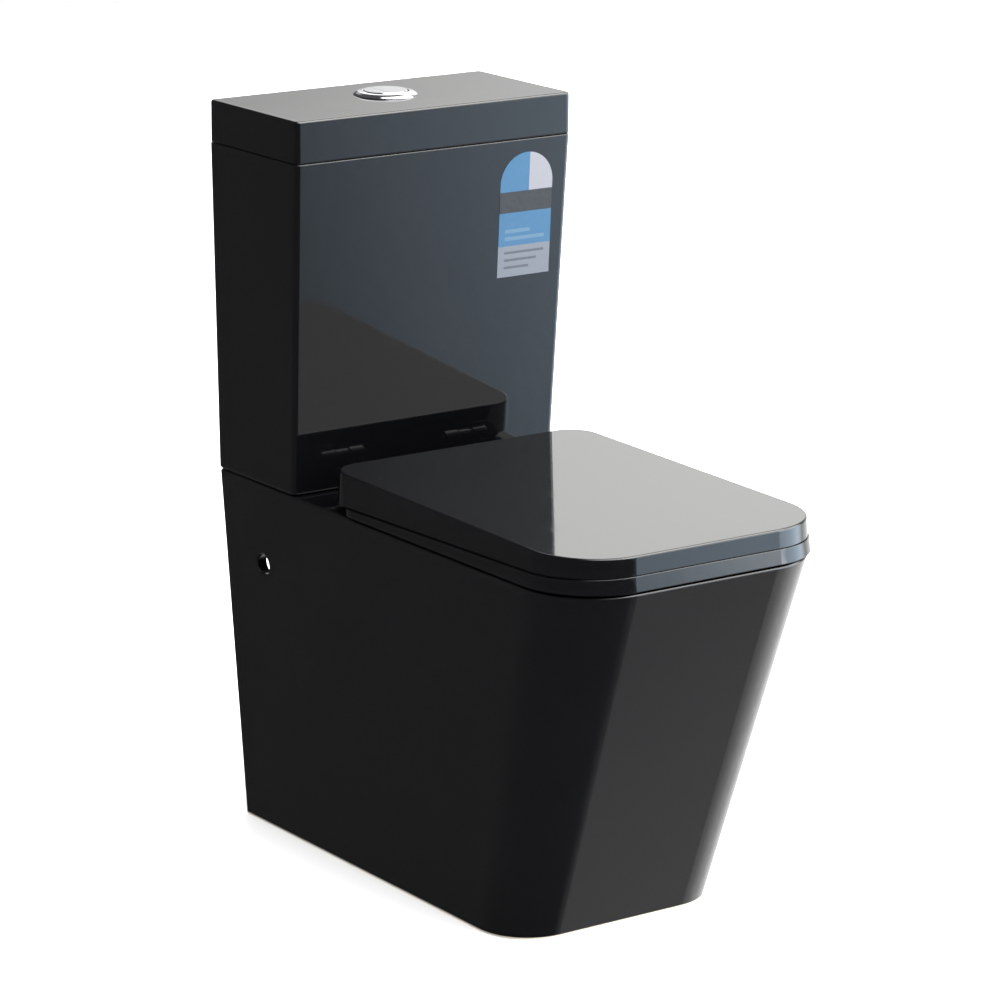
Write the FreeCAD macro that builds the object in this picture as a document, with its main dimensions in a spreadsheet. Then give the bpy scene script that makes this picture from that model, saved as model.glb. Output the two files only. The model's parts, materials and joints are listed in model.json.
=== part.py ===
import FreeCAD, Part
import math
import operator
import os
import Sketcher

# Close coupled, back-to-wall toilet suite. Millimetres.
# X runs across the suite, -Y is its front, +Y is the wall, +Z is up.
# The origin is on the floor, half way between the wall and the front of the seat.

V = FreeCAD.Vector

# Every driving dimension, written once: name, value, meaning.
DIMENSIONS = [
    ("overall_depth", 683, "wall to the front edge of the seat"),
    ("cistern_top", 840, "floor to the top of the cistern lid"),
    ("rim_height", 416.5, "floor to the top of the pan"),
    ("pan_width", 349, "pan across its rim"),
    ("pan_foot_width", 287, "pan across its foot"),
    ("pan_foot_length", 537.5, "wall to the front of the foot"),
    ("pan_front_radius", 83, "plan radius of the rim's front corners"),
    ("pan_foot_radius", 61, "plan radius of the foot's front corners"),
    ("pan_rear_radius", 4, "plan radius of the pan's rear corners"),
    ("pan_wall", 12, "skirt wall"),
    ("bowl_wall", 10, "bowl and duct wall"),
    ("deck_thickness", 14, "pan's flat top"),
    ("rim_edge", 2, "bevel round the pan's top"),
    ("bowl_half_width", 118, "half width of the bowl's mouth"),
    ("bowl_rear", 345, "wall to the rear of the bowl's mouth"),
    ("bowl_front_rim", 38, "bowl's mouth to the front of the pan"),
    ("sump_bottom", 105, "floor to the bottom of the sump"),
    ("sump_half_width", 38, "half width of the sump"),
    ("sump_front", 455, "wall to the front of the sump"),
    ("sump_rear", 372, "wall to the rear of the sump"),
    ("trap_radius", 29, "bore of the trapway"),
    ("trap_wall", 9, "wall of the trapway"),
    ("trap_centre_low", 130, "height of the trapway where it leaves the sump"),
    ("trap_centre_high", 230, "height of the trapway at its weir"),
    ("trap_start", 400, "wall to the trapway's open end in the sump"),
    ("trap_rise", 295, "wall to the rising leg of the trapway"),
    ("outlet_centre", 180.2, "height of the outlet"),
    ("outlet_radius", 51, "outside radius of the outlet spigot"),
    ("outlet_bore", 42, "inside radius of the outlet spigot"),
    ("outlet_end", 60, "wall to the end of the outlet spigot"),
    ("outlet_length", 62, "length of the outlet spigot"),
    ("duct_half_width", 36, "half width of the flush duct's bore"),
    ("duct_floor_drop", 76.5, "flush duct's floor, below the rim"),
    ("duct_ceiling_drop", 36.5, "flush duct's ceiling, below the rim"),
    ("duct_rear", 38, "wall to the rear of the flush duct"),
    ("access_hole_radius", 12.5, "round hole in each side of the skirt"),
    ("access_hole_height", 321, "height of the side holes"),
    ("access_hole_from_wall", 81, "wall to the side holes"),
    ("cistern_lid_width", 365, "cistern lid across"),
    ("cistern_lid_depth", 179, "cistern lid from wall to front"),
    ("cistern_lid_height", 47.5, "height of the cistern lid's skirt"),
    ("cistern_base_width", 350, "cistern across its base"),
    ("cistern_base_depth", 157, "cistern base from wall to front"),
    ("cistern_corner", 5, "radius of the cistern's upright corners"),
    ("cistern_wall", 9, "wall of the cistern and of its lid"),
    ("cistern_floor", 10, "floor of the cistern"),
    ("cistern_fillet", 3, "edge radius of the cistern lid"),
    ("tank_edge", 2, "bevel round the cistern's foot"),
    ("lid_groove", 1.4, "chamfer round the foot of the cistern lid"),
    ("lid_gap", 0.4, "clearance between cistern and lid"),
    ("pad_thickness", 1, "rubber pads between cistern and pan"),
    ("pad_width", 12, "those pads across"),
    ("pad_inset", 8, "cistern's side to those pads"),
    ("rib_drop", 12, "how far the lid's locating ribs reach into the cistern"),
    ("rib_clearance", 2, "locating rib to cistern wall"),
    ("valve_from_wall", 78, "wall to the flush valve, buttons and bolts"),
    ("flush_hole_radius", 32, "flush outlet hole in the cistern floor"),
    ("tail_radius", 29, "flush valve's threaded tail, outside"),
    ("tail_bore", 25, "flush valve's bore"),
    ("tail_drop", 25, "tail below the cistern's underside"),
    ("backnut_radius", 42, "flush valve backnut"),
    ("backnut_height", 12, "flush valve backnut"),
    ("recess_radius", 56, "recess in the pan for the coupling gasket"),
    ("recess_depth", 26, "recess in the pan for the coupling gasket"),
    ("valve_flange_radius", 45, "flush valve's base flange"),
    ("cage_radius", 40, "outside of the flush valve's cage"),
    ("cage_wall", 3, "wall of the flush valve's cage"),
    ("cage_height", 165, "flush valve's cage above its flange"),
    ("overflow_radius", 12, "outside of the overflow tube"),
    ("overflow_wall", 2, "wall of the overflow tube"),
    ("overflow_top", 735, "top of the overflow tube"),
    ("seal_radius", 31, "flush valve's seal"),
    ("seal_lift_gap", 0.3, "seal above its seat"),
    ("lever_height", 755, "height of the levers' pin"),
    ("lever_arm", 21.5, "lever half length"),
    ("lever_width", 8, "lever width"),
    ("lever_offset", 7, "lever centre from the valve's centre"),
    ("lever_pin_radius", 2, "levers' pin"),
    ("rod_offset", 18, "push rod from the button's centre"),
    ("rod_radius", 2.5, "push rod"),
    ("rod_gap", 0.6, "push rod above its lever"),
    ("bezel_flange", 6.5, "button bezel, beyond its threaded sleeve"),
    ("bezel_height", 4, "button bezel above the lid"),
    ("sleeve_wall", 4, "wall of the bezel's threaded sleeve"),
    ("button_radius", 25, "dual flush button"),
    ("button_gap", 0.5, "running gap round the buttons"),
    ("button_split", -6, "line between the half and the full button"),
    ("button_proud", 1, "buttons above the bezel"),
    ("inlet_offset", 128, "inlet valve from the suite's centre line"),
    ("inlet_tail_radius", 10.4, "inlet tail, a half inch thread"),
    ("inlet_tail_drop", 50, "inlet tail below the cistern"),
    ("inlet_shank_radius", 12, "inlet tail where it passes the cistern floor and its locknut"),
    ("inlet_locknut_height", 10, "inlet valve's locknut"),
    ("stem_radius", 12, "inlet valve's stem"),
    ("stem_top", 690, "top of the inlet valve's stem"),
    ("float_radius", 30, "inlet valve's float cup"),
    ("float_height", 70, "inlet valve's float cup"),
    ("float_bottom", 540, "foot of the float cup with the cistern empty"),
    ("float_lever_height", 735, "pivot of the float lever"),
    ("bolt_offset", 84, "close coupling bolts from the centre line"),
    ("bolt_radius", 4, "close coupling and hinge bolts"),
    ("bolt_hole_clearance", 2, "holes round those bolts, on the radius"),
    ("washer_radius", 14, "rubber washers on those bolts"),
    ("washer_thickness", 3, "rubber washers on those bolts"),
    ("plate_thickness", 1.5, "steel washers on those bolts"),
    ("nut_height", 10, "wing nuts"),
    ("nut_radius", 8, "hub of the wing nuts"),
    ("seat_overhang", 1.9, "seat beyond the pan at the sides and front"),
    ("seat_gap", 2.9, "seat above the pan, its bumpers' height"),
    ("seat_rear", 238.6, "wall to the rear of the seat ring"),
    ("seat_flare", 3.4, "how much the seat narrows towards its top"),
    ("seat_top_rise", 26.5, "seat ring's crown, above the rim"),
    ("crown_clearance", 1.5, "seat ring's crown inside the lid's wall"),
    ("seat_opening_half_width", 112, "seat opening"),
    ("seat_opening_rear", 310, "wall to the rear of the seat opening"),
    ("seat_front_width", 71, "width of the ring at its front"),
    ("seat_corner", 82, "plan radius of the seat's front corners"),
    ("seat_rear_corner", 36, "plan radius of the seat's rear corners"),
    ("seam_front_rise", 19.9, "lower edge of the lid at its front, above the rim"),
    ("seam_rear_rise", 10.1, "lower edge of the lid at its rear, above the rim"),
    ("seam_gap", 0.8, "shadow gap between lid and seat"),
    ("lid_rear", 218.6, "wall to the rear of the seat lid"),
    ("lid_front_top_rise", 40.3, "top of the seat lid at its front, above the rim"),
    ("lid_rear_top_rise", 47, "top of the seat lid at its rear, above the rim"),
    ("lid_flare", 2.9, "how much the seat lid narrows towards its top"),
    ("lid_wall", 5, "wall of the seat lid"),
    ("lid_ceiling_rise", 34.5, "underside of the seat lid's top, above the rim"),
    ("lid_fillet", 2.5, "edge radius of the seat lid's top"),
    ("lid_blade_thickness", 7, "blades that carry the seat lid"),
    ("lid_screw_from_rear", 24, "rear of the seat lid to its hinge screws"),
    ("hinge_rise", 20.5, "seat hinge's pins, above the rim"),
    ("hinge_from_wall", 205, "wall to the seat hinge's pins"),
    ("hinge_offset", 84, "hinge posts from the centre line"),
    ("hinge_base_radius", 24, "round foot of a hinge post"),
    ("hinge_base_height", 8, "round foot of a hinge post"),
    ("post_half_width", 8.5, "half width of a hinge post"),
    ("post_radius", 8, "round head of a hinge post"),
    ("barrel_radius", 9, "hinge barrels"),
    ("barrel_length", 18, "hinge barrels"),
    ("barrel_side_gap", 1.5, "hinge barrel to post"),
    ("hinge_pin_radius", 4, "hinge pins"),
    ("hinge_pin_clearance", 0.05, "running clearance on the hinge pins"),
    ("label_left", 89, "rating label's left edge from the centre line"),
    ("label_width", 71, "rating label"),
    ("label_height", 142, "rating label"),
    ("label_bottom", 635.5, "height of the rating label's foot"),
    ("label_thickness", 0.3, "rating label"),
]
VALUES = {name: value for name, value, meaning in DIMENSIONS}

doc = FreeCAD.newDocument("close_coupled_toilet")
sheet = doc.addObject("Spreadsheet::Sheet", "Sizes")
sheet.Label = "sizes"
for row, (name, value, meaning) in enumerate(DIMENSIONS, start=1):
    sheet.set(f"A{row}", name)
    sheet.set(f"B{row}", str(value))
    sheet.set(f"C{row}", meaning)
    sheet.setAlias(f"B{row}", name)
doc.recompute()


# ---- sizes that carry both their number and their spreadsheet expression ----

OPERATIONS = {"+": operator.add, "-": operator.sub, "*": operator.mul, "/": operator.truediv}


class Size:
    """A number together with the expression that works it out from the sheet."""

    def __init__(self, value, text):
        self.value = float(value)
        self.text = text

    def __add__(self, other):
        return combine(self, "+", other)

    def __radd__(self, other):
        return combine(other, "+", self)

    def __sub__(self, other):
        return combine(self, "-", other)

    def __rsub__(self, other):
        return combine(other, "-", self)

    def __mul__(self, other):
        return combine(self, "*", other)

    def __rmul__(self, other):
        return combine(other, "*", self)

    def __truediv__(self, other):
        return combine(self, "/", other)

    def __neg__(self):
        return Size(-self.value, f"(-1 * {self.text})")


def as_size(item):
    """A plain number becomes a Size that holds it."""
    return item if isinstance(item, Size) else Size(item, repr(item))


def combine(left, sign, right):
    """The Size of two sizes joined by one arithmetic sign."""
    left = as_size(left)
    right = as_size(right)
    value = OPERATIONS[sign](left.value, right.value)
    return Size(value, f"({left.text} {sign} {right.text})")


class Sheet:
    """Reads a driving dimension by its name."""

    def __getattr__(self, name):
        return Size(VALUES[name], f"sizes.{name}")


S = Sheet()


def bind(item, prop, size):
    """Bind one property of an object to a size."""
    size = as_size(size)
    item.setExpression(prop, size.text)


# ---- sketches and PartDesign features ----

def new_body(name):
    body = doc.addObject("PartDesign::Body", name)
    body.Label = name
    return body


def new_sketch(body, name, role, offset=None):
    """A sketch on one of the body's own origin planes, moved along the plane's normal."""
    sketch = body.newObject("Sketcher::SketchObject", name)
    plane = [item for item in body.Origin.OriginFeatures if item.Role == role][0]
    sketch.AttachmentSupport = [(plane, "")]
    sketch.MapMode = "FlatFace"
    if offset is not None:
        bind(sketch, "AttachmentOffset.Base.z", offset)
    return sketch


def dimension(sketch, kind, parts, size):
    """Add one dimension and bind it to a size."""
    index = sketch.addConstraint(Sketcher.Constraint(kind, *parts, size.value))
    sketch.setExpression(f"Constraints[{index}]", size.text)


def place_point(sketch, geometry, point, x, y):
    """Dimension a point from the sketch's origin, or hold it on an axis where that is 0."""
    if as_size(x).value == 0:
        sketch.addConstraint(Sketcher.Constraint("PointOnObject", geometry, point, -2))
    else:
        dimension(sketch, "DistanceX", (-1, 1, geometry, point), as_size(x))
    if as_size(y).value == 0:
        sketch.addConstraint(Sketcher.Constraint("PointOnObject", geometry, point, -1))
    else:
        dimension(sketch, "DistanceY", (-1, 1, geometry, point), as_size(y))


def draw_polygon(sketch, points):
    """A closed outline of straight lines through points, each a pair of sizes."""
    count = len(points)
    first = sketch.GeometryCount
    corners = [V(as_size(x).value, as_size(y).value, 0) for x, y in points]
    for i in range(count):
        sketch.addGeometry(Part.LineSegment(corners[i], corners[(i + 1) % count]))
    for i in range(count):
        following = first + (i + 1) % count
        sketch.addConstraint(Sketcher.Constraint("Coincident", first + i, 2, following, 1))
        place_point(sketch, first + i, 1, *points[i])


def draw_box(sketch, x_low, x_high, y_low, y_high):
    draw_polygon(sketch, [(x_low, y_low), (x_high, y_low), (x_high, y_high), (x_low, y_high)])


def draw_circle(sketch, x, y, radius):
    radius = as_size(radius)
    centre = V(as_size(x).value, as_size(y).value, 0)
    index = sketch.addGeometry(Part.Circle(centre, V(0, 0, 1), radius.value))
    place_point(sketch, index, 3, x, y)
    dimension(sketch, "Radius", (index,), radius)


def draw_outline(sketch, half_width, front, rear, front_radius, rear_radius):
    """A rectangle about the Y axis, with one radius at its front corners and one at its rear."""
    w, f, b = half_width.value, front.value, rear.value
    front_radius, rear_radius = as_size(front_radius), as_size(rear_radius)
    rf, rr = front_radius.value, rear_radius.value
    lines = [((-w + rf, f), (w - rf, f)), ((w, f + rf), (w, b - rr)),
             ((w - rr, b), (-w + rr, b)), ((-w, b - rr), (-w, f + rf))]
    arcs = [((w - rf, f + rf), rf, -90), ((w - rr, b - rr), rr, 0),
            ((-w + rr, b - rr), rr, 90), ((-w + rf, f + rf), rf, 180)]
    for i in range(4):
        start, end = lines[i]
        sketch.addGeometry(Part.LineSegment(V(*start, 0), V(*end, 0)))
        centre, radius, turn = arcs[i]
        circle = Part.Circle(V(*centre, 0), V(0, 0, 1), radius)
        turn = math.radians(turn)
        sketch.addGeometry(Part.ArcOfCircle(circle, turn, turn + math.pi / 2))
    for i in range(4):
        line, arc, next_line = 2 * i, 2 * i + 1, (2 * i + 2) % 8
        sketch.addConstraint(Sketcher.Constraint("Tangent", line, 2, arc, 1))
        sketch.addConstraint(Sketcher.Constraint("Tangent", arc, 2, next_line, 1))
        sketch.addConstraint(Sketcher.Constraint("Horizontal" if i % 2 == 0 else "Vertical", line))
        dimension(sketch, "Radius", (arc,), front_radius if i in (0, 3) else rear_radius)
    dimension(sketch, "DistanceY", (-1, 1, 0, 1), front)
    dimension(sketch, "DistanceX", (-1, 1, 2, 1), half_width)
    dimension(sketch, "DistanceY", (-1, 1, 4, 1), rear)
    dimension(sketch, "DistanceX", (-1, 1, 6, 1), -half_width)


def extrude(body, kind, name, sketch, length=None, reverse=False, both=False):
    """A Pad or a Pocket; a Pocket with no length goes through everything."""
    feature = body.newObject(f"PartDesign::{kind}", name)
    feature.Profile = sketch
    if length is None:
        feature.Type = "ThroughAll"
    else:
        bind(feature, "Length", length)
    feature.Reversed = reverse
    feature.SideType = "Symmetric" if both else "One side"
    return feature


def pad(body, name, sketch, length, **options):
    return extrude(body, "Pad", name, sketch, length, **options)


def pocket(body, name, sketch, length=None, **options):
    """A Pocket that must take material away."""
    doc.recompute()
    before = body.Shape.Volume
    feature = extrude(body, "Pocket", name, sketch, length, **options)
    doc.recompute()
    if feature.Shape.Volume > before - 1:
        raise RuntimeError(f"{name} cuts nothing")
    return feature


def loft(body, kind, name, sections):
    """A loft with straight sides from each closed sketch to the next, added or taken away."""
    feature = body.newObject(f"PartDesign::{kind}Loft", name)
    feature.Profile = sections[0]
    feature.Sections = sections[1:]
    feature.Ruled = True
    return feature


def outline_loft(body, kind, name, sections):
    """A loft through outlines, each given as (height, half width, front, rear, radii)."""
    sketches = []
    for i, (height, *outline) in enumerate(sections):
        sketch = new_sketch(body, f"{name}_{i}", "XY_Plane", height)
        draw_outline(sketch, *outline)
        sketches.append(sketch)
    return loft(body, kind, name, sketches)


def revolve(body, name, points):
    """Turn an outline of (radius, height) points about the body's Z axis."""
    sketch = new_sketch(body, f"{name}_profile", "XZ_Plane")
    draw_polygon(sketch, points)
    feature = body.newObject("PartDesign::Revolution", name)
    feature.Profile = sketch
    feature.ReferenceAxis = (sketch, ["V_Axis"])
    feature.Angle = 360
    return feature


def level_edges(feature, height, test=None):
    """Names of a feature's edges that lie level at a height."""
    doc.recompute()
    names = []
    for i, edge in enumerate(feature.Shape.Edges, start=1):
        box = edge.BoundBox
        if abs(box.ZMin - height) < 0.01 and abs(box.ZMax - height) < 0.01:
            if test is None or test(box):
                names.append(f"Edge{i}")
    return names


def round_edges(body, name, feature, edges, radius, kind="Fillet"):
    item = body.newObject(f"PartDesign::{kind}", name)
    item.Base = (feature, edges)
    bind(item, "Radius" if kind == "Fillet" else "Size", radius)
    return item


# ---- Part primitives, booleans and copies ----

AXIS_TURNS = {
    "z": FreeCAD.Rotation(V(0, 0, 1), 0),
    "x": FreeCAD.Rotation(V(0, 1, 0), 90),
    "y": FreeCAD.Rotation(V(1, 0, 0), -90),
}


def put(item, x, y, z):
    for letter, size in zip("xyz", (x, y, z)):
        bind(item, f"Placement.Base.{letter}", size)
    return item


def cylinder(name, radius, length, x, y, z, axis="z"):
    """A cylinder that starts at a point and runs along +axis."""
    item = doc.addObject("Part::Cylinder", name)
    item.Label = name
    bind(item, "Radius", radius)
    bind(item, "Height", length)
    item.Placement = FreeCAD.Placement(V(0, 0, 0), AXIS_TURNS[axis])
    return put(item, x, y, z)


def cone(name, low_radius, high_radius, length, x, y, z):
    item = doc.addObject("Part::Cone", name)
    item.Label = name
    bind(item, "Radius1", low_radius)
    bind(item, "Radius2", high_radius)
    bind(item, "Height", length)
    return put(item, x, y, z)


def block(name, x_low, x_high, y_low, y_high, z_low, z_high):
    """A box between pairs of coordinates."""
    item = doc.addObject("Part::Box", name)
    item.Label = name
    bind(item, "Length", x_high - x_low)
    bind(item, "Width", y_high - y_low)
    bind(item, "Height", z_high - z_low)
    return put(item, x_low, y_low, z_low)


def prism(name, radius, length, x, y, z, sides=6):
    """A regular prism, such as a hexagon head, given across its corners."""
    item = doc.addObject("Part::Prism", name)
    item.Label = name
    item.Polygon = sides
    bind(item, "Circumradius", radius)
    bind(item, "Height", length)
    return put(item, x, y, z)


def fuse(name, items):
    item = doc.addObject("Part::MultiFuse", name)
    item.Label = name
    item.Shapes = items
    return item


def cut(name, base, tools):
    """A base with tools taken away."""
    tool = tools[0] if len(tools) == 1 else fuse(f"{name}_tools", tools)
    item = doc.addObject("Part::Cut", name)
    item.Label = name
    item.Base = base
    item.Tool = tool
    return item


def common(name, base, tool):
    item = doc.addObject("Part::Common", name)
    item.Label = name
    item.Base = base
    item.Tool = tool
    return item


def group(name, items):
    """Separate solids of the same kind kept together in one node."""
    item = doc.addObject("Part::Compound", name)
    item.Label = name
    item.Links = items
    return item


def mirrored(name, source):
    """A copy on the other side of the suite's centre plane."""
    item = doc.addObject("Part::Mirroring", name)
    item.Label = name
    item.Source = source
    item.Base = V(0, 0, 0)
    item.Normal = V(1, 0, 0)
    return item


def pair(name, source):
    return group(name, [source, mirrored(f"{name}_mirrored", source)])


def washer(name, radius, bore, thickness, x, y, z):
    """A flat ring that stands on z."""
    disc = cylinder(f"{name}_disc", radius, thickness, x, y, z)
    hole = cylinder(f"{name}_hole", bore, thickness, x, y, z)
    return cut(name, disc, [hole])


# ---- places worked out from the driving dimensions ----

wall_y = S.overall_depth / 2


def behind(distance):
    """The Y of a point that stands a distance out from the wall."""
    return wall_y - distance


PAST = 20                      # how far cutting shapes run past the solid they cut
SPRING_TURNS = 4               # coils in each button spring
BOWL_STEPS = 6                 # straight stretches between the bowl's mouth and its sump
pan_length = S.overall_depth - S.seat_overhang
deck_under = S.rim_height - S.deck_thickness
tank_foot = S.rim_height + S.pad_thickness
tank_floor = tank_foot + S.cistern_floor
lid_foot = S.cistern_top - S.cistern_lid_height
tank_top = lid_foot - S.lid_gap
lid_under = S.cistern_top - S.cistern_wall
valve_y = behind(S.valve_from_wall)
hinge_y = behind(S.hinge_from_wall)
pan_taper = (S.pan_width - S.pan_foot_width) / 2
pan_lean = pan_length - S.pan_foot_length
recess_floor = S.rim_height - S.recess_depth
duct_floor = S.rim_height - S.duct_floor_drop
duct_ceiling = S.rim_height - S.duct_ceiling_drop
seat_top = S.rim_height + S.seat_top_rise
seam_front = S.rim_height + S.seam_front_rise
seam_rear = S.rim_height + S.seam_rear_rise
lid_front_top = S.rim_height + S.lid_front_top_rise
lid_rear_top = S.rim_height + S.lid_rear_top_rise
lid_ceiling = S.rim_height + S.lid_ceiling_rise
hinge_height = S.rim_height + S.hinge_rise


# ---- pan: one fired piece, with skirt, bowl, trapway and flush duct ----

def skirt_section(height, inset, rear):
    """Outline of the pan's skirt at a height, drawn in by an inset."""
    share = height / S.rim_height
    half_width = S.pan_foot_width / 2 + pan_taper * share - inset
    front = behind(S.pan_foot_length + pan_lean * share - inset)
    radius = S.pan_foot_radius + (S.pan_front_radius - S.pan_foot_radius) * share - inset
    return (height, half_width, front, rear, radius, S.pan_rear_radius)


def bowl_sections(grow):
    """Outlines of the bowl from its mouth down to its sump, grown by a wall."""
    mouth_front = pan_length - S.bowl_front_rim
    sections = []
    for step in range(BOWL_STEPS + 1):
        sink = step / BOWL_STEPS
        narrow = sink ** 2 * (3 - 2 * sink)
        height = S.rim_height + (S.sump_bottom - S.rim_height) * sink
        half_width = S.bowl_half_width + (S.sump_half_width - S.bowl_half_width) * narrow
        front = mouth_front + (S.sump_front - mouth_front) * narrow
        rear = S.bowl_rear + (S.sump_rear - S.bowl_rear) * narrow
        if step == BOWL_STEPS:
            height = height - grow
        sections.append((height, half_width + grow, behind(front + grow), behind(rear - grow),
                         half_width * 0.92 + grow, half_width * 0.72 + grow))
    return sections


def draw_trap_line(sketch):
    """Centre line of the trapway: back from the sump, up, over the weir and out."""
    low = S.trap_centre_low.value
    high = S.trap_centre_high.value
    out = S.outlet_centre.value
    start_y = behind(S.trap_start).value
    rise_y = behind(S.trap_rise).value
    bend = (high - low) / 2
    fall = (high - out) / 2
    weir_y = rise_y + bend
    turn = math.pi / 4
    reach = fall / (1 - math.cos(turn))
    points = {
        "foot": V(rise_y - bend, low + bend, 0),
        "weir": V(weir_y, high - bend, 0),
        "fall": V(weir_y, high - reach, 0),
        "level": V(weir_y + 2 * reach * math.sin(turn), out + reach, 0),
    }
    up = V(0, 0, 1)
    quarter = math.pi / 2
    sketch.addGeometry(Part.LineSegment(V(start_y, low, 0), V(rise_y - bend, low, 0)))
    sketch.addGeometry(Part.ArcOfCircle(Part.Circle(points["foot"], up, bend), -quarter, 0))
    sketch.addGeometry(Part.ArcOfCircle(Part.Circle(points["weir"], up, bend), quarter, 2 * quarter))
    sketch.addGeometry(Part.ArcOfCircle(Part.Circle(points["fall"], up, reach), quarter - turn, quarter))
    sketch.addGeometry(Part.ArcOfCircle(Part.Circle(points["level"], up, reach),
                                        3 * quarter - turn, 3 * quarter))
    end_y = behind(S.outlet_end).value
    sketch.addGeometry(Part.LineSegment(V(points["level"].x, out, 0), V(end_y, out, 0)))
    joints = [(0, 2, 1, 1), (1, 2, 2, 2), (2, 1, 3, 2), (3, 1, 4, 1), (4, 2, 5, 1)]
    for joint in joints:
        sketch.addConstraint(Sketcher.Constraint("Tangent", *joint))
    sketch.addConstraint(Sketcher.Constraint("Horizontal", 0))
    sketch.addConstraint(Sketcher.Constraint("Horizontal", 5))
    sketch.addConstraint(Sketcher.Constraint("Horizontal", 1, 3, 1, 2))
    sketch.addConstraint(Sketcher.Constraint("Equal", 1, 2))
    sketch.addConstraint(Sketcher.Constraint("Vertical", 2, 3, 2, 1))
    sketch.addConstraint(Sketcher.Constraint("Equal", 3, 4))
    sketch.addConstraint(Sketcher.Constraint("Angle", 4, math.pi / 4))
    place_point(sketch, 0, 1, behind(S.trap_start), S.trap_centre_low)
    dimension(sketch, "DistanceX", (-1, 1, 1, 2), behind(S.trap_rise))
    dimension(sketch, "DistanceY", (-1, 1, 2, 1), S.trap_centre_high)
    place_point(sketch, 5, 2, behind(S.outlet_end), S.outlet_centre)


def pipe(body, kind, name, radius, spine):
    """A round pipe along the trapway's centre line."""
    section = new_sketch(body, f"{name}_section", "XZ_Plane", -behind(S.trap_start))
    draw_circle(section, 0, S.trap_centre_low, radius)
    feature = body.newObject(f"PartDesign::{kind}Pipe", name)
    feature.Profile = section
    feature.Spine = (spine, [f"Edge{i}" for i in range(1, 7)])
    return feature


def make_pan():
    body = new_body("pan")
    outline_loft(body, "Additive", "skirt", [
        skirt_section(as_size(0.0), 0, wall_y),
        skirt_section(S.rim_height - S.rim_edge, 0, wall_y),
        skirt_section(S.rim_height, S.rim_edge, wall_y)])
    open_rear = wall_y + PAST
    outline_loft(body, "Subtractive", "skirt_hollow", [
        skirt_section(as_size(-1.0), S.pan_wall, open_rear),
        skirt_section(deck_under, S.pan_wall, open_rear)])
    outline_loft(body, "Additive", "bowl", bowl_sections(S.bowl_wall))

    spine = new_sketch(body, "trap_line", "YZ_Plane")
    draw_trap_line(spine)
    doc.recompute()
    pipe(body, "Additive", "trap", S.trap_radius + S.trap_wall, spine)
    spigot = new_sketch(body, "spigot_circle", "XZ_Plane", -behind(S.outlet_end))
    draw_circle(spigot, 0, S.outlet_centre, S.outlet_radius)
    pad(body, "spigot", spigot, S.outlet_length)

    duct_half = S.duct_half_width + S.bowl_wall
    duct = new_sketch(body, "duct_outside", "XY_Plane", duct_floor - S.bowl_wall)
    draw_box(duct, -duct_half, duct_half, behind(S.bowl_rear), behind(S.duct_rear))
    pad(body, "duct", duct, deck_under - duct_floor + S.bowl_wall)
    boss = new_sketch(body, "gasket_boss_circle", "XY_Plane", deck_under)
    draw_circle(boss, 0, valve_y, S.recess_radius + S.bowl_wall)
    pad(body, "gasket_boss", boss, deck_under - duct_ceiling, reverse=True)

    outline_loft(body, "Subtractive", "bowl_hollow", bowl_sections(0))
    pipe(body, "Subtractive", "trap_bore", S.trap_radius, spine)
    bore = new_sketch(body, "outlet_circle", "XZ_Plane", -behind(S.outlet_end))
    draw_circle(bore, 0, S.outlet_centre, S.outlet_bore)
    pocket(body, "outlet", bore, S.outlet_length - S.trap_wall, reverse=True)
    flush = new_sketch(body, "flush_passage_outline", "XY_Plane", duct_floor)
    draw_box(flush, -S.duct_half_width, S.duct_half_width,
             behind(S.bowl_rear + S.bowl_wall + PAST), behind(S.duct_rear + S.bowl_wall))
    pocket(body, "flush_passage", flush, duct_ceiling - duct_floor, reverse=True)

    recess = new_sketch(body, "gasket_recess_circle", "XY_Plane", S.rim_height)
    draw_circle(recess, 0, valve_y, S.recess_radius)
    pocket(body, "gasket_recess", recess, S.recess_depth)
    horn = new_sketch(body, "flush_horn_circle", "XY_Plane", S.rim_height)
    draw_circle(horn, 0, valve_y, S.flush_hole_radius)
    pocket(body, "flush_horn", horn, S.rim_height - duct_floor - 1)
    holes = new_sketch(body, "deck_hole_circles", "XY_Plane", S.rim_height)
    for side in (-1, 1):
        draw_circle(holes, side * S.bolt_offset, valve_y, S.bolt_radius + S.bolt_hole_clearance)
        draw_circle(holes, side * S.hinge_offset, hinge_y, S.bolt_radius + S.bolt_hole_clearance)
    draw_circle(holes, -S.inlet_offset, valve_y, inlet_nut_radius + S.bolt_hole_clearance)
    pocket(body, "deck_holes", holes, S.deck_thickness + PAST)
    side_hole = new_sketch(body, "access_hole_circle", "YZ_Plane")
    draw_circle(side_hole, behind(S.access_hole_from_wall), S.access_hole_height,
                S.access_hole_radius)
    pocket(body, "access_holes", side_hole, S.pan_width + PAST, both=True)
    return body


# ---- cistern ----

def tank_section(height, inset, rear):
    """Outline of the cistern at a height, drawn in by an inset."""
    share = (height - tank_foot) / (tank_top - tank_foot)
    half_width = (S.cistern_base_width + (S.cistern_lid_width - S.cistern_base_width) * share) / 2
    depth = S.cistern_base_depth + (S.cistern_lid_depth - S.cistern_base_depth) * share
    return (height, half_width - inset, behind(depth - inset), rear, S.cistern_corner,
            S.cistern_corner)


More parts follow.
